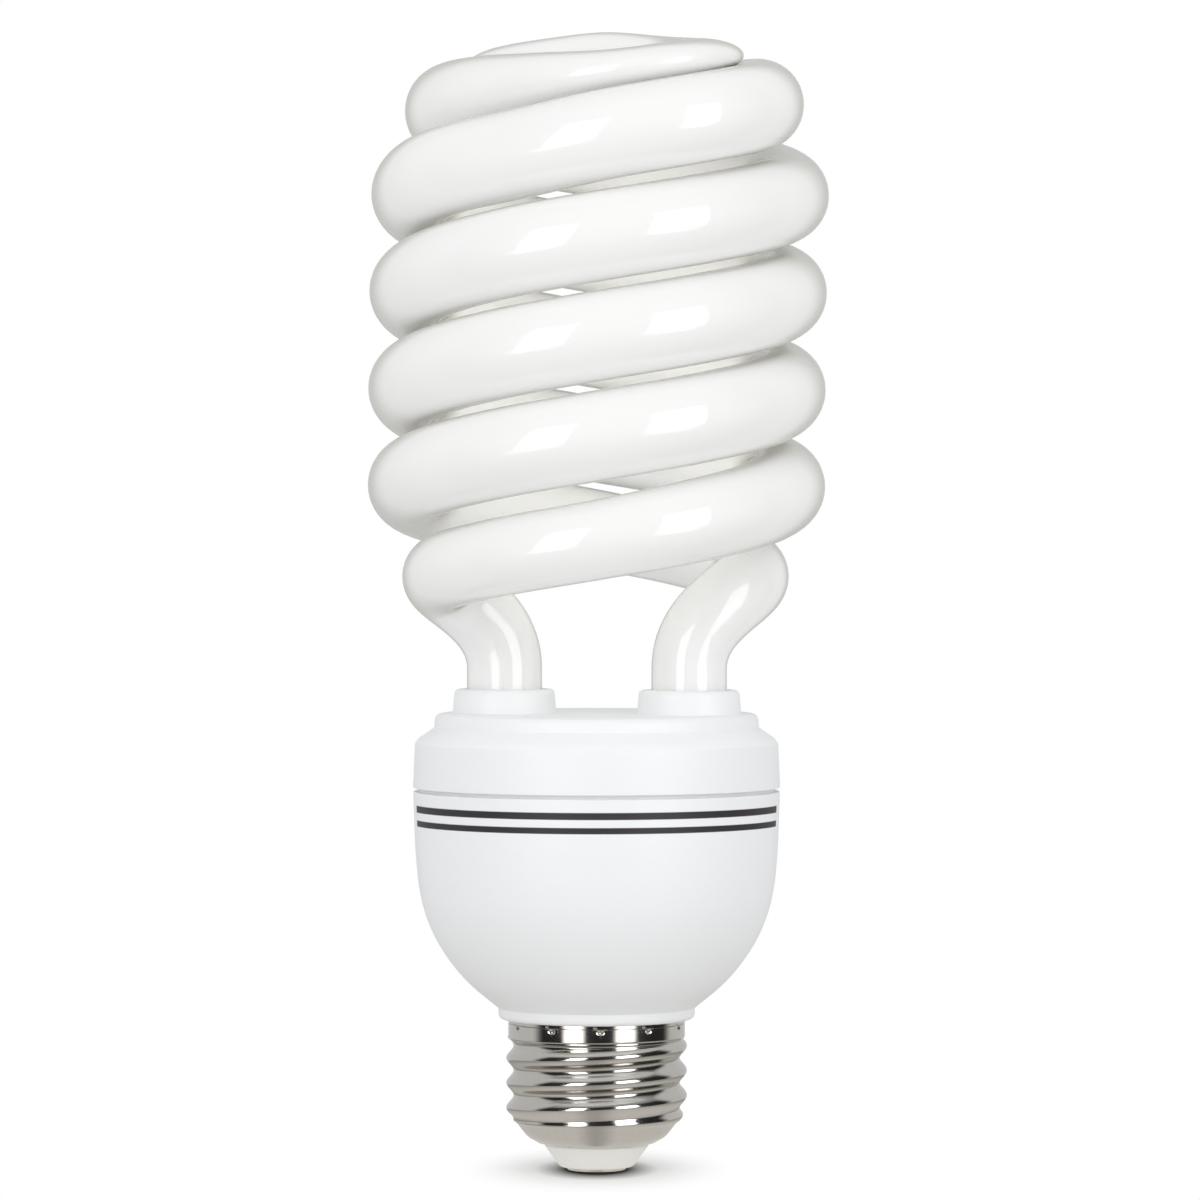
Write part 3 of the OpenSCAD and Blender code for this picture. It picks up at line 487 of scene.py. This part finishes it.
bowl = [
    (bowl_radius(k / BOWL_STEPS), BOWL_TOP + (BOWL_FOOT - BOWL_TOP) * k / BOWL_STEPS, 0)
    for k in range(BOWL_STEPS + 1)
]
bowl_inside = [(r - BOWL_WALL, z, 0) for r, z, _ in bowl]
housing_outline = eased([
    (SPIGOT_R, SPIGOT_TOP, SPIGOT_EASE), (SPIGOT_R, RIM_TOP, 0), (RIM_R, RIM_TOP, RIM_EASE), *bowl,
    (NECK_R, BOWL_FOOT, 0), (NECK_R, NECK_FOOT, NECK_EASE), (TONGUE_R, NECK_FOOT, 0),
    (TONGUE_R, TONGUE_FOOT, 0), (TONGUE_R - TONGUE_WALL, TONGUE_FOOT, 0),
    (TONGUE_R - TONGUE_WALL, BOWL_FOOT - WALL / 2, 0), *bowl_inside[::-1],
    (SKIRT_R - WALL, BOWL_TOP + WALL, 0), (SKIRT_R - WALL, SPIGOT_TOP, 0),
])


def maths(tree, operation, *sources, kind="ShaderNodeMath", result=0):
    """What a Math or Vector Math node makes of its sources: sockets to link or values to set."""
    node = tree.nodes.new(kind)
    node.operation = operation
    for socket, source in zip(node.inputs, sources):
        if isinstance(source, bpy.types.NodeSocket):
            tree.links.new(source, socket)
        else:
            socket.default_value = source
    return node.outputs[result]


def between(tree, value, low, high, soft):
    """A mask that is 1 where the value lies between low and high, with soft edges."""
    above = ramp(tree, value, low - soft, low + soft, kind="LINEAR")
    below = ramp(tree, value, high + soft, high - soft, kind="LINEAR")
    return maths(tree, "MULTIPLY", above, below)


striped_plastic = white_moulding("striped_plastic")
stripe_tree = striped_plastic.node_tree
axes = stripe_tree.nodes.new("ShaderNodeSeparateXYZ")
place = stripe_tree.nodes.new("ShaderNodeTexCoord")
stripe_tree.links.new(place.outputs["Object"], axes.inputs["Vector"])
bands = [
    between(stripe_tree, axes.outputs["Z"], foot * MM, top * MM, STRIPE_BLUR * MM)
    for foot, top in STRIPES
]
band = maths(stripe_tree, "ADD", *bands)
depth = maths(stripe_tree, "ABSOLUTE", axes.outputs["Y"])
ends = between(stripe_tree, depth, STRIPE_END * MM, PAST_HOUSING * MM, STRIPE_END_BLUR * MM)
tint(striped_plastic, maths(stripe_tree, "MULTIPLY", band, ends), STRIPE_INK)

bm = bmesh.new()
spun(bm, housing_outline)
housing = finished("bowl_housing", bm, striped_plastic)
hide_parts("lower_housing")

# Screw shell. Thin nickel-plated sheet, rolled with a rounded right-hand thread
# and drawn in at its foot; eleven punch marks fix its skirt to the tongue.
SHELL_TOP = 22.0
SHELL_SKIRT_R = 12.9
THREAD_TOP, THREAD_FOOT = 19.6, 7.2
CREST_R, ROOT_R = 13.2, 12.15
PITCH = 3.629
# Shares of the thread's height over which it rises and dies away
RUN_IN, RUN_OUT = 0.07, 0.09
CREST_FULLNESS = 0.95
SHEET = 0.3
MOUTH_R, MOUTH_FOOT = 7.62, 3.8
SHELL_STEPS = 264
ROW_STEP, TOP_ROW = 0.11, 0.02
BEAD_DROP, BEAD_ROW, BEAD_DEPTH = 0.5, 0.08, 0.14
PUNCH_COUNT, PUNCH_FIRST = 11, -87.5
PUNCH_HEIGHT, PUNCH_SIZE, PUNCH_DEPTH = 21.05, 0.34, 0.42
# The raised lip round a punch mark: height, and distance and width in sizes of the mark
LIP_HEIGHT, LIP_FAR, LIP_WIDTH = 0.07, 1.6, 0.45
# Radius and fall from the thread's foot to the shell's mouth
SHELL_FOOT_SHARES = (
    (1, 0), (0.93, 0.06), (0.86, 0.15), (0.72, 0.4), (0.6, 0.6), (0.5, 0.72), (0.22, 0.93), (0, 1),
)

nickel = grained(
    "nickel_plate", scale=1500, light=(0.70, 0.68, 0.64), dark=(0.64, 0.62, 0.58),
    smooth=0.08, rough=0.16, metallic=1.0)


def thread_out(height, angle):
    """How far the rolled sheet stands out of its root at a height and an angle in degrees."""
    f = (THREAD_TOP - height) / (THREAD_TOP - THREAD_FOOT)
    fade = max(0.0, min(1.0, f / RUN_IN, (1 - f) / RUN_OUT))
    wave = 0.5 + 0.5 * math.cos(math.radians(360 * height / PITCH - angle))
    skirt = min(1.0, max(0.0, 1 - f / RUN_IN))
    skirt = skirt * skirt * (3 - 2 * skirt)
    return (CREST_R - ROOT_R) * wave ** CREST_FULLNESS * fade + (SHELL_SKIRT_R - ROOT_R) * skirt


def punch_in(height, angle):
    """How deep the punch marks press the skirt in."""
    near = (angle - PUNCH_FIRST) % (360 / PUNCH_COUNT)
    near = min(near, 360 / PUNCH_COUNT - near)
    across = math.radians(near) * SHELL_SKIRT_R
    far = math.hypot(across, height - PUNCH_HEIGHT) / PUNCH_SIZE
    lip = LIP_HEIGHT * math.exp(-((far - LIP_FAR) / LIP_WIDTH) ** 2)
    return PUNCH_DEPTH * math.exp(-far ** 2) - lip


bead = SHELL_TOP - BEAD_DROP
heights = [SHELL_TOP, SHELL_TOP - TOP_ROW, bead + BEAD_ROW, bead, bead - BEAD_ROW]
level = bead - 2 * BEAD_ROW
while level > THREAD_FOOT:
    heights.append(level)
    level -= ROW_STEP
shell_rows = [(ROOT_R, z) for z in heights]
for inward, fall in SHELL_FOOT_SHARES:
    radius = MOUTH_R + (ROOT_R - MOUTH_R) * inward
    shell_rows.append((radius, THREAD_FOOT + (MOUTH_FOOT - THREAD_FOOT) * fall))
bm = bmesh.new()
spun(bm, shell_rows, steps=SHELL_STEPS, closed=False)
for v in bm.verts:
    height = v.co.z / MM
    if height < THREAD_FOOT:
        continue
    angle = math.degrees(math.atan2(v.co.y, v.co.x))
    radius = ROOT_R + thread_out(height, angle) - punch_in(height, angle)
    if abs(height - bead) < BEAD_ROW / 2:
        radius -= BEAD_DEPTH
    v.co.x = radius * math.cos(math.radians(angle)) * MM
    v.co.y = radius * math.sin(math.radians(angle)) * MM
shell = finished("rolled_shell", bm, nickel, sharp_from=60)
sheet = shell.modifiers.new("sheet", "SOLIDIFY")
sheet.thickness = SHEET * MM
sheet.offset = -1
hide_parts("screw_shell")

# Insulator and centre contact. An off-white moulded plug closes the foot of the
# shell, and a tinned disc riveted through it is the lamp's other terminal.
PLUG_FOOT, PLUG_FOOT_R = 0.45, 5.33
PLUG_TOP, PLUG_BORE = 6.2, 1.6
PLUG_EASE, MOUTH_EASE = 0.7, 0.1
CONTACT_R = 4.33
EYELET_R, EYELET_TOP = 1.3, 4.65
DISC_EASE, SEAT_EASE = 0.3, 0.1

cream = grained(
    "cream_insulator", scale=700, light=(0.93, 0.93, 0.90), dark=(0.90, 0.90, 0.87),
    smooth=0.4, rough=0.5, height=0.01)
plug_outline = eased([
    (PLUG_BORE, PLUG_FOOT, 0), (PLUG_FOOT_R, PLUG_FOOT, PLUG_EASE),
    (MOUTH_R - FIT_GAP, MOUTH_FOOT - SHEET, MOUTH_EASE), (MOUTH_R - FIT_GAP, PLUG_TOP, 0),
    (PLUG_BORE, PLUG_TOP, 0),
])
bm = bmesh.new()
spun(bm, plug_outline, steps=SMALL_SPIN_STEPS)
plug = finished("cap_plug", bm, cream)
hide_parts("cap_insulator")

tinned = grained(
    "tinned_contact", scale=900, light=(0.80, 0.77, 0.68), dark=(0.66, 0.63, 0.55),
    smooth=0.4, rough=0.6, height=0.02, metallic=1.0)
contact_outline = eased([
    (0, 0, 0), (CONTACT_R, 0, DISC_EASE), (CONTACT_R, PLUG_FOOT, SEAT_EASE),
    (EYELET_R, PLUG_FOOT, 0), (EYELET_R, EYELET_TOP, 0), (0, EYELET_TOP, 0),
])
bm = bmesh.new()
spun(bm, contact_outline, steps=SMALL_SPIN_STEPS, closed=False)
contact = finished("contact_disc", bm, tinned)
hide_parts("centre_contact")

# Cement and driver. White cement holds the legs in their collars. The driver
# board and its components sit inside the housing, each with its own finish.
cement = grained(
    "white_cement", scale=500, light=(0.86, 0.86, 0.84), dark=(0.74, 0.74, 0.72),
    smooth=0.75, rough=0.9, height=0.06)
laminate = grained(
    "board_laminate", scale=300, light=(0.62, 0.50, 0.30), dark=(0.52, 0.40, 0.22),
    smooth=0.5, rough=0.65)
tin = grained(
    "tinned_metal", scale=800, light=(0.72, 0.72, 0.72), dark=(0.6, 0.6, 0.6),
    smooth=0.25, rough=0.4, metallic=1.0)
ferrite = grained(
    "ferrite", scale=600, light=(0.09, 0.09, 0.1), dark=(0.05, 0.05, 0.055),
    smooth=0.5, rough=0.7, height=0.02)
black = grained(
    "black_plastic", scale=500, light=(0.05, 0.05, 0.05), dark=(0.03, 0.03, 0.03),
    smooth=0.4, rough=0.55)
copper = grained(
    "enamelled_copper", scale=900, light=(0.55, 0.22, 0.09), dark=(0.42, 0.15, 0.06),
    smooth=0.25, rough=0.4, metallic=0.7)
can = grained(
    "can_aluminium", scale=500, light=(0.82, 0.82, 0.82), dark=(0.72, 0.72, 0.72),
    smooth=0.25, rough=0.35, metallic=1.0)
sleeve = grained(
    "sleeve_plastic", scale=300, light=(0.03, 0.04, 0.12), dark=(0.02, 0.03, 0.09),
    smooth=0.25, rough=0.35)
resin = grained(
    "dipped_resin", scale=250, light=(0.38, 0.10, 0.04), dark=(0.30, 0.07, 0.03),
    smooth=0.2, rough=0.3, coat=0.5)
lacquer = grained(
    "resistor_body", scale=400, light=(0.52, 0.42, 0.3), dark=(0.45, 0.35, 0.24),
    smooth=0.35, rough=0.5)
sheath = grained(
    "lead_sheath", scale=400, light=(0.04, 0.04, 0.04), dark=(0.03, 0.03, 0.03),
    smooth=0.5, rough=0.65)
finish_of_node = {
    "tube_cement": cement, "driver_board": laminate, "lead_pins": tin, "filament_leads": tin,
    "choke_core": ferrite, "choke_bobbin": black, "choke_winding": copper,
    "smoothing_capacitor": can, "capacitor_sleeve": sleeve, "resonance_capacitor": resin,
    "coupling_capacitor": resin, "drive_ring": ferrite, "drive_windings": copper,
    "power_transistors": black, "line_choke_core": ferrite, "line_choke_winding": copper,
    "rectifier_diodes": black, "resistors": lacquer, "fusible_resistor": lacquer,
    "contact_lead": tin, "shell_lead": sheath, "glass_spiral": coated_glass,
    "upper_cover": white_plastic, "lower_housing": striped_plastic, "screw_shell": nickel,
    "cap_insulator": cream, "centre_contact": tinned,
}
for name, material in finish_of_node.items():
    nodes[name].data.materials.clear()
    nodes[name].data.materials.append(material)

# Floor. A small white disc under the lamp. Its colour is painted darker towards
# the contact, a painted shadow that deepens the real one, and further out it fades into the white room.
# Mirrors and bounced light meet a plain glow in its place, dimmer in front.
FLOOR_R = 70
FLOOR_SIDES = 128
FLOOR_SQUEEZE = 0.62
PAINTED_SHADOW_NEAR, PAINTED_SHADOW_FAR = 4.4, 9.2
PAINTED_SHADOW_DARK, UNSHADOWED_WHITE = 0.02, 0.92
SHADOW_NEAR, SHADOW_FAR = 3, 21
MIRRORED_NEAR, MIRRORED_FAR = 6, 45
MIRRORED_WHITE, MIRRORED_GREY = 0.68, 0.35
# Degrees round from the back of the lamp, between which the glow dims
FRONT_FROM, FRONT_TO = 152, 180
SIDE_SHARE, FRONT_SHARE = 1.1, 0.72
BOUNCED_LIGHT = 0.76
BOUNCED_TINT = (0.92, 0.90, 0.86, 1)
WHITE = (1, 1, 1, 1)


def mixed_shader(tree, factor, first, second):
    """The first shader where the factor is 0 and the second where it is 1."""
    mix = tree.nodes.new("ShaderNodeMixShader")
    for socket, source in zip(mix.inputs, (factor, first, second)):
        tree.links.new(source, socket)
    return mix.outputs[0]


bm = bmesh.new()
bmesh.ops.create_circle(bm, cap_ends=True, segments=FLOOR_SIDES, radius=FLOOR_R * MM)
floor = object_of("floor", bm)
floor_white = new_material("floor_white")
floor_tree = floor_white.node_tree
floor_shader = main_shader(floor_white)
floor_shader.inputs["Roughness"].default_value = 0.9
floor_shader.inputs["Specular IOR Level"].default_value = 0.0
rays = floor_tree.nodes.new("ShaderNodeLightPath")
place = floor_tree.nodes.new("ShaderNodeTexCoord").outputs["Object"]
squeezed = maths(
    floor_tree, "MULTIPLY", place, (1, FLOOR_SQUEEZE, 1), kind="ShaderNodeVectorMath")
reach = maths(floor_tree, "LENGTH", squeezed, kind="ShaderNodeVectorMath", result="Value")
# Painted shadow: the floor's own colour darkens towards the contact.
tone = ramp(
    floor_tree, reach, PAINTED_SHADOW_NEAR * MM, PAINTED_SHADOW_FAR * MM, PAINTED_SHADOW_DARK, UNSHADOWED_WHITE, kind="LINEAR")
floor_tree.links.new(tone, floor_shader.inputs["Base Color"])

axes = floor_tree.nodes.new("ShaderNodeSeparateXYZ")
floor_tree.links.new(place, axes.inputs["Vector"])
bearing = maths(floor_tree, "ARCTAN2", axes.outputs["X"], axes.outputs["Y"])
in_front = ramp(
    floor_tree, maths(floor_tree, "ABSOLUTE", bearing),
    math.radians(FRONT_FROM), math.radians(FRONT_TO), SIDE_SHARE, FRONT_SHARE)
near_lamp = ramp(
    floor_tree, reach, MIRRORED_NEAR * MM, MIRRORED_FAR * MM, MIRRORED_WHITE, MIRRORED_GREY)
either = floor_tree.nodes.new("ShaderNodeMix")
either.inputs[VALUE_A].default_value = BOUNCED_LIGHT
floor_tree.links.new(rays.outputs["Is Glossy Ray"], either.inputs["Factor"])
floor_tree.links.new(maths(floor_tree, "MULTIPLY", near_lamp, in_front), either.inputs[VALUE_B])
dull = floor_tree.nodes.new("ShaderNodeEmission")
dull.inputs["Color"].default_value = BOUNCED_TINT
floor_tree.links.new(either.outputs[VALUE_MIXED], dull.inputs["Strength"])
bounced = maths(floor_tree, "MAXIMUM", rays.outputs["Is Glossy Ray"], rays.outputs["Is Diffuse Ray"])
floor_seen = mixed_shader(floor_tree, bounced, floor_shader.outputs[0], dull.outputs[0])

glow = floor_tree.nodes.new("ShaderNodeEmission")
glow.inputs["Color"].default_value = WHITE
fade = ramp(floor_tree, reach, SHADOW_NEAR * MM, SHADOW_FAR * MM)
faded = maths(floor_tree, "MULTIPLY", rays.outputs["Is Camera Ray"], fade)
surface = mixed_shader(floor_tree, faded, floor_seen, glow.outputs[0])
floor_tree.links.new(surface, floor_tree.nodes["Material Output"].inputs["Surface"])
floor.data.materials.append(floor_white)

# Room. A plain white backdrop for what is seen straight, and white light all
# round for the lamp. What the lamp mirrors is another room: dark in front, so
# that the lit boxes stand out, and lighter behind the lamp and high above it.
ROOM_LIGHT = 0.8
BEHIND_LAMP = (-0.2, 1, 0)
BEHIND_FROM, BEHIND_TO = -0.08, 0.25
MIRRORED_FRONT, MIRRORED_BACK = 0.02, 0.62
CEILING_FROM, CEILING_TO, CEILING_LIGHT = 0.6, 0.85, 0.4

world = bpy.data.worlds.new("studio")
world.use_nodes = True
bpy.context.scene.world = world
sky = world.node_tree
backdrop = sky.nodes["Background"]
room = sky.nodes.new("ShaderNodeBackground")
mirrored = sky.nodes.new("ShaderNodeBackground")
for shade in (backdrop, room, mirrored):
    shade.inputs["Color"].default_value = WHITE
backdrop.inputs["Strength"].default_value = 1.0
room.inputs["Strength"].default_value = ROOM_LIGHT
rays = sky.nodes.new("ShaderNodeLightPath")
heading = sky.nodes.new("ShaderNodeTexCoord").outputs["Generated"]
behind = maths(
    sky, "DOT_PRODUCT", heading, BEHIND_LAMP, kind="ShaderNodeVectorMath", result="Value")
lit_behind = ramp(sky, behind, BEHIND_FROM, BEHIND_TO, MIRRORED_FRONT, MIRRORED_BACK)
tall = sky.nodes.new("ShaderNodeSeparateXYZ")
sky.links.new(heading, tall.inputs["Vector"])
ceiling = ramp(sky, tall.outputs["Z"], CEILING_FROM, CEILING_TO, most=CEILING_LIGHT)
sky.links.new(maths(sky, "MAXIMUM", lit_behind, ceiling), mirrored.inputs["Strength"])
around = mixed_shader(sky, rays.outputs["Is Glossy Ray"], room.outputs[0], mirrored.outputs[0])
straight = maths(sky, "MAXIMUM", rays.outputs["Is Camera Ray"], rays.outputs["Is Transmission Ray"])
surround = mixed_shader(sky, straight, around, backdrop.outputs[0])
sky.links.new(surround, sky.nodes["World Output"].inputs["Surface"])

# Lights. Two soft boxes stand in front of the lamp, left and right. Their lit
# fronts are panels that only mirrors see. Three weak lamps inside the coil stand
# for the light that passes through the white coat. Sizes are in metres.
AIM = Vector((0, 0, 0.1))
BOX_DISTANCE, BOX_ELEVATION = 0.95, 18
BOX_HEIGHT, BOX_POWER = 0.8, 1.5
FRONT_TOP, FRONT_LIGHT = 0.78, 3.6
FOOT_DEPTH, FOOT_WIDTH, FOOT_LIGHT, FOOT_SOFT = 0.14, 0.56, 3.2, 0.3
COIL_GLOWS = (0.100, 0.120, 0.140)
COIL_GLOW_POWER, COIL_GLOW_SIZE = 0.0032, 0.012
COIL_GLOW_TINT = (1.0, 0.985, 0.94)


def hung(name, light, place):
    """A light at its place, left out of what the lamp mirrors."""
    holder = bpy.data.objects.new(name, light)
    holder.location = place
    holder.visible_glossy = False
    bpy.context.scene.collection.objects.link(holder)
    return holder


def soft_box(name, azimuth, width):
    """Soft light from a box at a bearing from the camera's side."""
    turn, rise = math.radians(azimuth), math.radians(BOX_ELEVATION)
    level = math.cos(rise)
    out = Vector((math.sin(turn) * level, -math.cos(turn) * level, math.sin(rise)))
    light = bpy.data.lights.new(name, "AREA")
    light.shape = "RECTANGLE"
    light.size = width
    light.size_y = BOX_HEIGHT
    light.energy = BOX_POWER
    box = hung(name, light, AIM + out * BOX_DISTANCE)
    box.rotation_euler = out.to_track_quat("Z", "Y").to_euler()


def box_front(name, azimuth, width, foot, top, strength, soft=0.0):
    """The lit front of a box, seen only in what mirrors it; soft is the share that fades out."""
    bm = bmesh.new()
    bm.loops.layers.uv.new("front")
    bmesh.ops.create_grid(bm, x_segments=1, y_segments=1, size=0.5, calc_uvs=True)
    upright = Matrix.Rotation(math.pi / 2, 4, "X") @ Matrix.Diagonal((width, top - foot, 1, 1))
    raised = Matrix.Translation((0, -BOX_DISTANCE, (foot + top) / 2))
    turned = Matrix.Rotation(math.radians(azimuth), 4, "Z")
    bmesh.ops.transform(bm, matrix=turned @ raised @ upright, verts=bm.verts)
    panel = object_of(name, bm)
    front = new_material(name)
    tree = front.node_tree
    lit = tree.nodes.new("ShaderNodeEmission")
    lit.inputs["Strength"].default_value = strength
    if soft:
        split = tree.nodes.new("ShaderNodeSeparateXYZ")
        tree.links.new(tree.nodes.new("ShaderNodeUVMap").outputs["UV"], split.inputs["Vector"])
        masked = between(tree, split.outputs["X"], soft / 2, 1 - soft / 2, soft / 2)
        tree.links.new(maths(tree, "MULTIPLY", masked, strength), lit.inputs["Strength"])
    tree.links.new(lit.outputs[0], tree.nodes["Material Output"].inputs["Surface"])
    panel.data.materials.append(front)
    panel.visible_camera = False
    panel.visible_diffuse = False
    panel.visible_transmission = False
    panel.visible_shadow = False


soft_box("left_box", azimuth=-30, width=0.46)
soft_box("right_box", azimuth=36, width=0.49)
for name, azimuth, width in (("left_front", -27.5, 0.40), ("right_front", 40, 0.50)):
    box_front(name, azimuth, width, foot=0.0, top=FRONT_TOP, strength=FRONT_LIGHT)
for name, azimuth in (("left_foot", -30), ("right_foot", 38)):
    box_front(name, azimuth, FOOT_WIDTH, -FOOT_DEPTH, top=0.0, strength=FOOT_LIGHT, soft=FOOT_SOFT)
for height in COIL_GLOWS:
    light = bpy.data.lights.new("coil_glow", "POINT")
    light.energy = COIL_GLOW_POWER
    light.color = COIL_GLOW_TINT
    light.shadow_soft_size = COIL_GLOW_SIZE
    hung("coil_glow", light, (0, 0, height)).visible_camera = False

# Camera. It stands 0.89 m in front of the lamp, level with the lower end of the
# coil, and looks down by about a degree. Its place is given in metres.
EYE_DISTANCE = 0.890
EYE_HEIGHT = 0.0981
EYE_SIDE = 0.0005
EYE_PITCH = 0.957
SENSOR_WIDTH, LENS = 36, 182.9
NEAREST = 0.05
camera_data = bpy.data.cameras.new("camera")
camera_data.sensor_width = SENSOR_WIDTH
camera_data.lens = LENS
camera_data.clip_start = NEAREST
camera = bpy.data.objects.new("camera", camera_data)
camera.location = (EYE_SIDE, -EYE_DISTANCE, EYE_HEIGHT)
camera.rotation_euler = (math.radians(90 - EYE_PITCH), 0, 0)
bpy.context.scene.collection.objects.link(camera)
bpy.context.scene.camera = camera
bpy.context.scene.view_settings.view_transform = "Standard"
